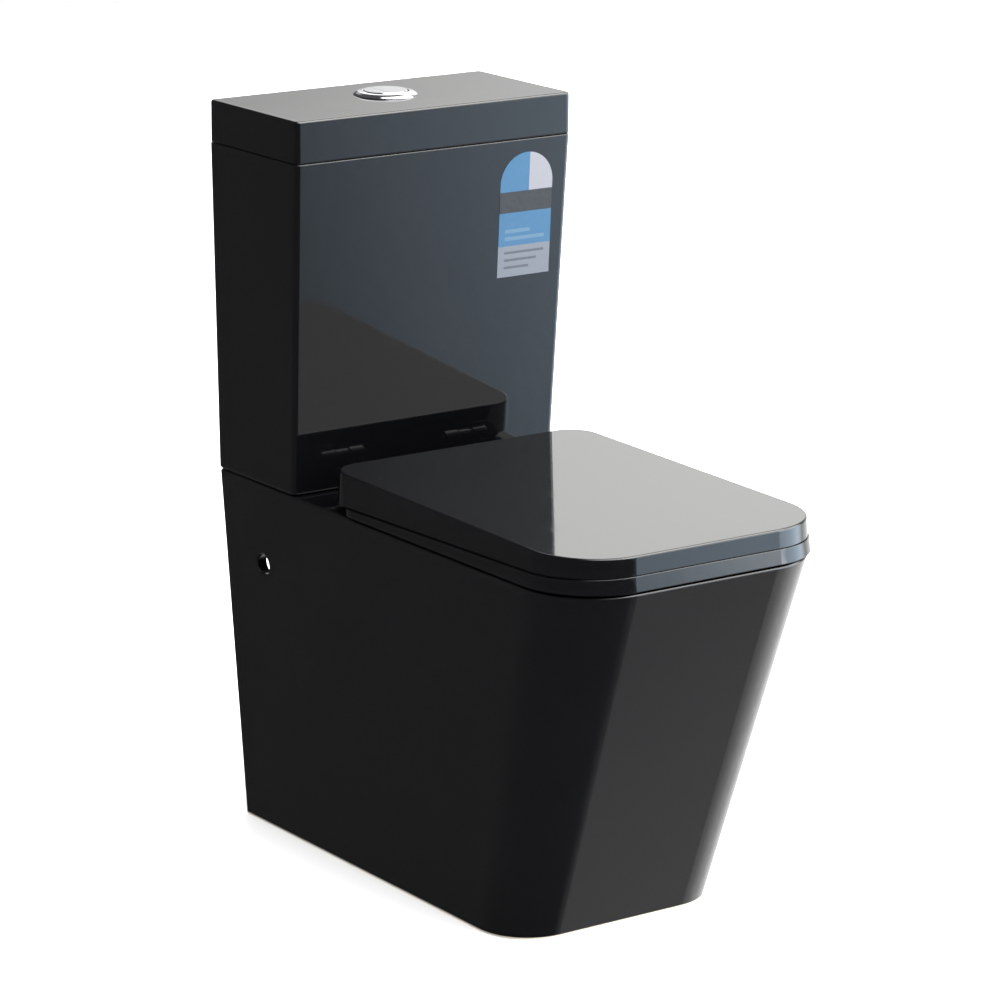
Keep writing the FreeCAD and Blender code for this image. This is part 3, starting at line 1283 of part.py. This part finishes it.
seat_ring_mid = (seat_half + S.seat_opening_half_width) / 2
rod_washer_z = deck_under - S.washer_thickness
plate_z = rod_washer_z - S.plate_thickness
sub_parts = [
    make_pan(),
    make_tank(),
    make_pads(),
    make_label(),
    make_flush_valve_body(),
    washer("flush_valve_washer", S.valve_flange_radius, S.tail_radius, washer_between, 0,
           valve_y, tank_floor),
    make_backnut(),
    make_gasket(),
    make_bridge(),
    cylinder("lever_pin", S.lever_pin_radius,
             2 * (S.lever_offset + S.lever_width / 2 + 1.5 + 4), 0,
             valve_y - (S.lever_offset + S.lever_width / 2 + 1.5 + 4), S.lever_height, "y"),
    make_overflow_tube(),
    make_valve_seal(),
    make_lever("full_flush_lever", 1, 0.05),
    make_lever("half_flush_lever", -1, 0.05),
    make_inlet_tail(),
    washer("inlet_washer", 20, S.inlet_shank_radius, washer_between, inlet_x, valve_y,
           tank_floor),
    cut("inlet_locknut",
        prism("inlet_locknut_hexagon", inlet_nut_radius, S.inlet_locknut_height, inlet_x,
              valve_y, tank_foot - S.inlet_locknut_height),
        [cylinder("inlet_locknut_hole", S.inlet_shank_radius, S.inlet_locknut_height, inlet_x,
                  valve_y, tank_foot - S.inlet_locknut_height)]),
    make_inlet_body(),
    cylinder("float_lever_pin", S.lever_pin_radius, 15, inlet_x + 17, valve_y - 7.5,
             S.float_lever_height, "y"),
    make_float_cup(),
    make_float_link(),
    make_float_lever(),
    make_cistern_bolts(),
    pair("bolt_seals", washer("bolt_seal", S.washer_radius, S.bolt_radius, S.washer_thickness,
                              S.bolt_offset, valve_y, tank_floor)),
    pair("bolt_plates", washer("bolt_plate", S.washer_radius - 2, S.bolt_radius,
                               S.plate_thickness, S.bolt_offset, valve_y,
                               tank_floor + S.washer_thickness)),
    pair("deck_washers", washer("deck_washer", S.washer_radius, S.bolt_radius,
                                S.washer_thickness, S.bolt_offset, valve_y, rod_washer_z)),
    pair("deck_plates", washer("deck_plate", S.washer_radius - 2, S.bolt_radius,
                               S.plate_thickness, S.bolt_offset, valve_y, plate_z)),
    pair("cistern_wing_nuts", make_wing_nut("cistern_wing_nut", S.bolt_offset, valve_y, plate_z,
                                            "y")),
    make_cistern_lid(),
    make_bezel(),
    make_bezel_nut(),
    make_button_guide(),
    make_button("full_flush_button", 1),
    make_button("half_flush_button", -1),
    make_push_rod("full_push_rod", 1),
    make_push_rod("half_push_rod", -1),
    make_button_spring("full_button_spring", 1),
    make_button_spring("half_button_spring", -1),
    make_hinge_posts(),
    make_hinge_pins(),
    make_hinge_bolts(),
    pair("hinge_washers", washer("hinge_washer", S.washer_radius, S.bolt_radius,
                                 S.washer_thickness, S.hinge_offset, hinge_y, rod_washer_z)),
    pair("hinge_wing_nuts", make_wing_nut("hinge_wing_nut", S.hinge_offset, hinge_y,
                                          rod_washer_z, "x")),
    make_seat_ring(),
    make_blades("seat_hinge_blades", seat_blade_near, seat_blade_far, hinge_height - 7,
                hinge_height, S.seat_rear + blade_reach, seat_screw_y),
    make_screws("seat_hinge_screws", (seat_blade_near + seat_blade_far) / 2, seat_screw_y,
                seat_foot + 1, 3, seat_foot + 19),
    make_bumpers("seat_bumpers", 10, S.seat_gap - 0.3, S.rim_height + 0.3, seat_ring_mid,
                 behind(540), behind(300)),
    make_seat_lid(),
    make_blades("lid_hinge_blades", lid_blade_near, lid_blade_far, lid_blade_foot,
                lid_ceiling, S.lid_rear + 44, lid_screw_y),
    make_screws("lid_hinge_screws", (lid_blade_near + lid_blade_far) / 2, lid_screw_y,
                lid_blade_foot - 2, 2, lid_ceiling + 5),
    make_bumpers("lid_bumpers", 6, lid_ceiling - seat_top - 0.4, seat_top + 0.4,
                 seat_ring_mid, behind(560), behind(330)),
]
doc.recompute()

# ---- check and write ----

for item in doc.Objects:
    if "Invalid" in item.State or "Error" in item.State:
        raise RuntimeError(f"{item.Label} did not compute: {item.State}")
for item in sub_parts:
    if item.Shape.isNull() or not item.Shape.isValid() or not item.Shape.Solids:
        raise RuntimeError(f"{item.Label} is not a valid solid")

os.makedirs("parts", exist_ok=True)
for item in sub_parts:
    item.Shape.exportStep(os.path.join("parts", f"{item.Label}.step"))
    print(f"{item.Label}: {len(item.Shape.Solids)} solids, {item.Shape.Volume / 1000:.1f} cm3")
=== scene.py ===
import json
import math

import bpy
from mathutils import Matrix, Vector


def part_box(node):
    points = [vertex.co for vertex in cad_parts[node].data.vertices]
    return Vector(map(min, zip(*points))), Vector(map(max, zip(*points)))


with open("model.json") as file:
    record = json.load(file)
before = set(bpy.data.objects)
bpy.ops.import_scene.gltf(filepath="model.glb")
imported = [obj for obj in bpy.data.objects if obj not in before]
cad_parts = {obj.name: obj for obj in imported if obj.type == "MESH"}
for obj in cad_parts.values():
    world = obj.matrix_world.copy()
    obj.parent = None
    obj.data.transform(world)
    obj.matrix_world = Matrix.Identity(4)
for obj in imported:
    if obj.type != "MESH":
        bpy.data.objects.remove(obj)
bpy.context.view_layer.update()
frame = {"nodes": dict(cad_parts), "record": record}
nodes = frame["nodes"]

# ---- node helpers ----


class Tree:
    """Builds one node tree in short calls."""

    def __init__(self, tree):
        self.tree = tree
        self.tree.nodes.clear()

    def add(self, kind, **settings):
        node = self.tree.nodes.new(kind)
        for name, value in settings.items():
            setattr(node, name, value)
        return node

    def set(self, socket, value):
        """Give a socket a fixed value, or link it to another socket."""
        if isinstance(value, bpy.types.NodeSocket):
            self.tree.links.new(value, socket)
        else:
            socket.default_value = value

    def math(self, operation, a, b=0.0, c=0.0):
        node = self.add("ShaderNodeMath", operation=operation)
        for socket, value in zip(node.inputs, (a, b, c)):
            self.set(socket, value)
        return node.outputs[0]

    def ramp(self, value, low, high, out_low=0.0, out_high=1.0):
        """Smooth step of value from low..high to out_low..out_high."""
        node = self.add("ShaderNodeMapRange", interpolation_type="SMOOTHSTEP")
        for socket, item in zip(node.inputs, (value, low, high, out_low, out_high)):
            self.set(socket, item)
        return node.outputs[0]

    def mix(self, factor, a, b):
        node = self.add("ShaderNodeMix", data_type="RGBA")
        self.set(node.inputs["Factor"], factor)
        self.set(node.inputs[6], a)
        self.set(node.inputs[7], b)
        return node.outputs[2]

    def place(self):
        """The point on the object, in metres, in the object's own frame."""
        return self.add("ShaderNodeTexCoord").outputs["Object"]

    def noise(self, where, scale, detail=4.0, roughness=0.55):
        node = self.add("ShaderNodeTexNoise")
        self.set(node.inputs["Vector"], where)
        self.set(node.inputs["Scale"], scale)
        self.set(node.inputs["Detail"], detail)
        self.set(node.inputs["Roughness"], roughness)
        return node.outputs["Fac"]

    def stretch(self, where, scale):
        node = self.add("ShaderNodeMapping")
        self.set(node.inputs["Vector"], where)
        self.set(node.inputs["Scale"], scale)
        return node.outputs[0]

    def bump(self, height, distance, normal=None):
        node = self.add("ShaderNodeBump")
        self.set(node.inputs["Strength"], 1.0)
        self.set(node.inputs["Distance"], distance)
        self.set(node.inputs["Height"], height)
        if normal is not None:
            self.set(node.inputs["Normal"], normal)
        return node.outputs[0]

    def rounded(self, radius):
        """Shading normal that rounds sharp edges by a small radius, in metres."""
        node = self.add("ShaderNodeBevel", samples=6)
        self.set(node.inputs["Radius"], radius)
        return node.outputs[0]


def new_material(name):
    material = bpy.data.materials.new(name)
    material.use_nodes = True
    tree = Tree(material.node_tree)
    shader = tree.add("ShaderNodeBsdfPrincipled")
    output = tree.add("ShaderNodeOutputMaterial")
    tree.set(output.inputs["Surface"], shader.outputs[0])
    return material, tree, shader


def gloss_black(name, colour, tint, edge, ior, wave_height, unglazed_foot=False):
    """Black glaze or black lacquered plastic: deep, very smooth, with a faint orange peel."""
    material, tree, shader = new_material(name)
    where = tree.place()
    mottle = tree.noise(where, 9.0)
    colour_socket = tree.mix(mottle, colour, tint)
    smear = tree.noise(where, 26.0, 6.0)
    roughness = tree.ramp(smear, 0.35, 0.75, 0.035, 0.075)
    if unglazed_foot:
        height = tree.add("ShaderNodeSeparateXYZ")
        tree.set(height.inputs[0], where)
        bare = tree.ramp(height.outputs[2], 0.0012, 0.0022, 1.0, 0.0)
        colour_socket = tree.mix(bare, colour_socket, BISCUIT)
        roughness = tree.math("MAXIMUM", roughness, tree.math("MULTIPLY", bare, 0.8))
    tree.set(shader.inputs["Base Color"], colour_socket)
    tree.set(shader.inputs["Roughness"], roughness)
    tree.set(shader.inputs["IOR"], ior)
    peel = tree.noise(where, 55.0, 2.0, 0.4)
    ripple = tree.noise(where, 6.0, 1.0, 0.3)
    height = tree.math("ADD", peel, tree.math("MULTIPLY", ripple, 6.0))
    tree.set(shader.inputs["Normal"], tree.bump(height, wave_height, tree.rounded(edge)))
    return material


def metal(name, colour, rough_low, rough_high, grain, bump_height, edge=0.0004):
    """Plated or bare metal; grain stretches the fine scratches along one axis."""
    material, tree, shader = new_material(name)
    where = tree.place()
    scratch = tree.noise(tree.stretch(where, grain), 420.0, 5.0, 0.7)
    cloud = tree.noise(where, 40.0)
    shade = tuple(0.86 * part for part in colour[:3]) + (1.0,)
    tree.set(shader.inputs["Base Color"], tree.mix(cloud, colour, shade))
    tree.set(shader.inputs["Metallic"], 1.0)
    tree.set(shader.inputs["Roughness"], tree.ramp(scratch, 0.3, 0.7, rough_low, rough_high))
    tree.set(shader.inputs["Normal"], tree.bump(scratch, bump_height, tree.rounded(edge)))
    return material


def moulded(name, colour, roughness, texture, texture_height, edge=0.0005):
    """Moulded plastic or rubber with a fine skin texture and slight colour variation."""
    material, tree, shader = new_material(name)
    where = tree.place()
    cloud = tree.noise(where, 30.0)
    skin = tree.noise(where, texture, 3.0)
    shade = tuple(0.8 * part for part in colour[:3]) + (1.0,)
    tree.set(shader.inputs["Base Color"], tree.mix(cloud, colour, shade))
    tree.set(shader.inputs["Roughness"],
             tree.ramp(skin, 0.3, 0.7, roughness, min(1.0, roughness + 0.15)))
    tree.set(shader.inputs["Normal"], tree.bump(skin, texture_height, tree.rounded(edge)))
    return material


def printed_label():
    """Plain arched sticker in blocks of colour, with a few bars where small print would be."""
    material, tree, shader = new_material("sticker_print")
    split = tree.add("ShaderNodeSeparateXYZ")
    where = tree.place()
    tree.set(split.inputs[0], where)
    low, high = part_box("rating_label")
    u = tree.math("DIVIDE", tree.math("SUBTRACT", split.outputs[0], low[0]), high[0] - low[0])
    v = tree.math("DIVIDE", tree.math("SUBTRACT", split.outputs[2], low[2]), high[2] - low[2])

    def block(left, right, bottom, top):
        across = tree.math("MULTIPLY", tree.math("GREATER_THAN", u, left),
                           tree.math("LESS_THAN", u, right))
        up = tree.math("MULTIPLY", tree.math("GREATER_THAN", v, bottom),
                       tree.math("LESS_THAN", v, top))
        return tree.math("MULTIPLY", across, up)

    colour = STICKER_PALE
    for left, right, bottom, top, paint in STICKER_BLOCKS:
        colour = tree.mix(block(left, right, bottom, top), colour, paint)
    grain = tree.noise(where, 260.0)
    faded = tree.mix(tree.math("MULTIPLY", grain, 0.12), colour, STICKER_PALE)
    tree.set(shader.inputs["Base Color"], faded)
    tree.set(shader.inputs["Roughness"], tree.ramp(grain, 0.3, 0.7, 0.30, 0.45))
    tree.set(shader.inputs["Normal"], tree.bump(grain, 0.00001))
    return material


# ---- materials of the pieces ----

BISCUIT = (0.55, 0.50, 0.43, 1.0)
STICKER_PALE = (0.17, 0.17, 0.19, 1.0)
STICKER_FOOT = (0.095, 0.105, 0.125, 1.0)
STICKER_GREY = (0.040, 0.044, 0.058, 1.0)
STICKER_BLUE = (0.010, 0.072, 0.150, 1.0)
STICKER_SKY = (0.045, 0.105, 0.165, 1.0)
STICKER_BLACK = (0.003, 0.003, 0.004, 1.0)
# left, right, bottom and top as shares of the sticker's box, and the paint
STICKER_BLOCKS = [
    (-0.1, 0.55, 0.68, 1.1, STICKER_BLUE),
    (-0.1, 1.1, 0.52, 0.69, STICKER_BLACK),
    (-0.1, 1.1, 0.25, 0.52, STICKER_BLUE),
    (-0.1, 1.1, -0.1, 0.25, STICKER_FOOT),
    (0.12, 0.88, 0.295, 0.325, STICKER_SKY),
    (0.12, 0.60, 0.355, 0.385, STICKER_SKY),
    (0.12, 0.88, 0.185, 0.205, STICKER_GREY),
    (0.12, 0.74, 0.125, 0.145, STICKER_GREY),
    (0.12, 0.60, 0.065, 0.085, STICKER_GREY),
]

glaze = gloss_black("black_ceramic_glaze", (0.0010, 0.0011, 0.0014, 1.0),
                    (0.0022, 0.0023, 0.0027, 1.0), 0.0022, 1.52, 0.00003, True)
lacquer = gloss_black("black_seat_plastic", (0.0011, 0.0012, 0.0015, 1.0),
                      (0.0021, 0.0022, 0.0026, 1.0), 0.0012, 1.53, 0.00002)
chrome = metal("polished_chrome", (0.72, 0.73, 0.76, 1.0), 0.03, 0.09, (1, 1, 1), 0.000002)
steel = metal("drawn_steel", (0.50, 0.50, 0.51, 1.0), 0.20, 0.40, (1, 1, 0.06), 0.00001)
brass = metal("turned_brass", (0.68, 0.48, 0.20, 1.0), 0.16, 0.34, (0.1, 0.1, 1), 0.00001)
white_plastic = moulded("white_moulding", (0.74, 0.75, 0.74, 1.0), 0.38, 700.0, 0.00001)
blue_plastic = moulded("blue_moulding", (0.04, 0.13, 0.38, 1.0), 0.36, 700.0, 0.00001)
rubber = moulded("black_rubber", (0.022, 0.022, 0.024, 1.0), 0.66, 900.0, 0.00003)
sticker = printed_label()

FINISH = {
    "black_glaze": glaze,
    "seat_black": lacquer,
    "chrome": chrome,
    "steel": steel,
    "brass": brass,
    "white_plastic": white_plastic,
    "blue_plastic": blue_plastic,
    "rubber": rubber,
    "label": sticker,
}

for part in frame["record"]["subparts"]:
    shown = nodes[part["node"]]
    for slot in shown.material_slots:
        slot.material = FINISH[part["material_slot"]]

# ---- camera ----

AZIMUTH = math.radians(35.1048)
ELEVATION = math.radians(14.7319)
DISTANCE = 4.81308
ROLL = math.radians(0.326)
TARGET = Vector((0.0, 0.0415, 0.42342))

back = Vector((-math.sin(AZIMUTH) * math.cos(ELEVATION), -math.cos(AZIMUTH) * math.cos(ELEVATION),
               math.sin(ELEVATION)))
camera = bpy.data.objects.new("camera", bpy.data.cameras.new("camera"))
bpy.context.collection.objects.link(camera)
camera.location = TARGET + back * DISTANCE
camera.rotation_mode = "QUATERNION"
level = (-back).to_track_quat("-Z", "Y")
camera.rotation_quaternion = level @ Matrix.Rotation(ROLL, 3, "Z").to_quaternion()
camera.data.sensor_width = 36.0
camera.data.lens = 157.32
camera.data.shift_x = 0.0026
camera.data.shift_y = -0.0036
bpy.context.scene.camera = camera

bpy.context.scene.view_settings.view_transform = "Standard"

# ---- studio: a directional room that only reflections and light see, and a pale floor ----


def direction(azimuth, elevation):
    """Unit vector towards a place in the room. Azimuth 0 is the front (-Y), 90 the right (+X)."""
    a = math.radians(azimuth)
    e = math.radians(elevation)
    return (math.sin(a) * math.cos(e), -math.cos(a) * math.cos(e), math.sin(e))


# azimuth, elevation, inner and outer radius in degrees, colour, strength
SOFTBOXES = [
    (30, 62, 15, 38, (1.0, 1.0, 1.0), 7.0),
    (60, 35, 18, 40, (1.0, 0.99, 0.97), 5.2),
    (42, 3, 2, 9, (1.0, 0.99, 0.97), 6.0),
    (62, -5, 9, 35, (0.68, 0.84, 1.0), 5.4),
    (118, -36, 8, 60, (1.0, 1.0, 1.0), 1.7),
    (138, 33, 10, 30, (1.0, 1.0, 0.98), 2.3),
]
ROOM = (1.0, 1.0, 1.0)
ROOM_STRENGTH = 0.10

world = bpy.data.worlds.new("studio")
bpy.context.scene.world = world
world.use_nodes = True
room = Tree(world.node_tree)
ray = room.add("ShaderNodeTexCoord").outputs["Generated"]
light = tuple(part * ROOM_STRENGTH for part in ROOM) + (1.0,)
for azimuth, elevation, inner, outer, colour, strength in SOFTBOXES:
    facing = room.add("ShaderNodeVectorMath", operation="DOT_PRODUCT")
    room.set(facing.inputs[0], ray)
    room.set(facing.inputs[1], direction(azimuth, elevation))
    glow = room.ramp(facing.outputs["Value"], math.cos(math.radians(outer)),
                     math.cos(math.radians(inner)), 0.0, strength)
    add = room.add("ShaderNodeMix", data_type="RGBA", blend_type="ADD", clamp_result=False)
    room.set(add.inputs["Factor"], glow)
    room.set(add.inputs[6], light)
    room.set(add.inputs[7], colour + (1.0,))
    add.clamp_factor = False
    light = add.outputs[2]
path = room.add("ShaderNodeLightPath")
seen = room.mix(path.outputs["Is Camera Ray"], light, (1.0, 1.0, 1.0, 1.0))
background = room.add("ShaderNodeBackground")
room.set(background.inputs["Color"], seen)
room.set(background.inputs["Strength"], 1.0)
room.set(room.add("ShaderNodeOutputWorld").inputs["Surface"], background.outputs[0])

floor_mesh = bpy.data.meshes.new("floor")
FLOOR_HALF = 6.0
floor_mesh.from_pydata([(-FLOOR_HALF, -FLOOR_HALF, 0), (FLOOR_HALF, -FLOOR_HALF, 0),
                        (FLOOR_HALF, FLOOR_HALF, 0), (-FLOOR_HALF, FLOOR_HALF, 0)], [],
                       [(0, 1, 2, 3)])
floor = bpy.data.objects.new("floor", floor_mesh)
bpy.context.collection.objects.link(floor)
floor.location.z = -0.0005
floor.visible_glossy = False
floor_material, floor_tree, floor_shader = new_material("pale_floor")
floor_shader.inputs["Base Color"].default_value = (0.95, 0.95, 0.95, 1.0)
floor_shader.inputs["Roughness"].default_value = 0.9
floor_shader.inputs["Specular IOR Level"].default_value = 0.0
floor_mesh.materials.append(floor_material)

LAMPS = [
    ("key", (-1.6, -2.2, 3.0), 2.6, 90.0),
    ("fill", (2.4, -1.6, 2.4), 2.4, 90.0),
    ("top", (0.0, 0.3, 3.4), 3.0, 90.0),
]
for name, place, size, power in LAMPS:
    lamp = bpy.data.lights.new(name, "AREA")
    lamp.size = size
    lamp.energy = power
    stand = bpy.data.objects.new(name, lamp)
    bpy.context.collection.objects.link(stand)
    stand.location = place
    stand.rotation_mode = "QUATERNION"
    stand.rotation_quaternion = (TARGET - Vector(place)).to_track_quat("-Z", "Y")
    stand.visible_glossy = False
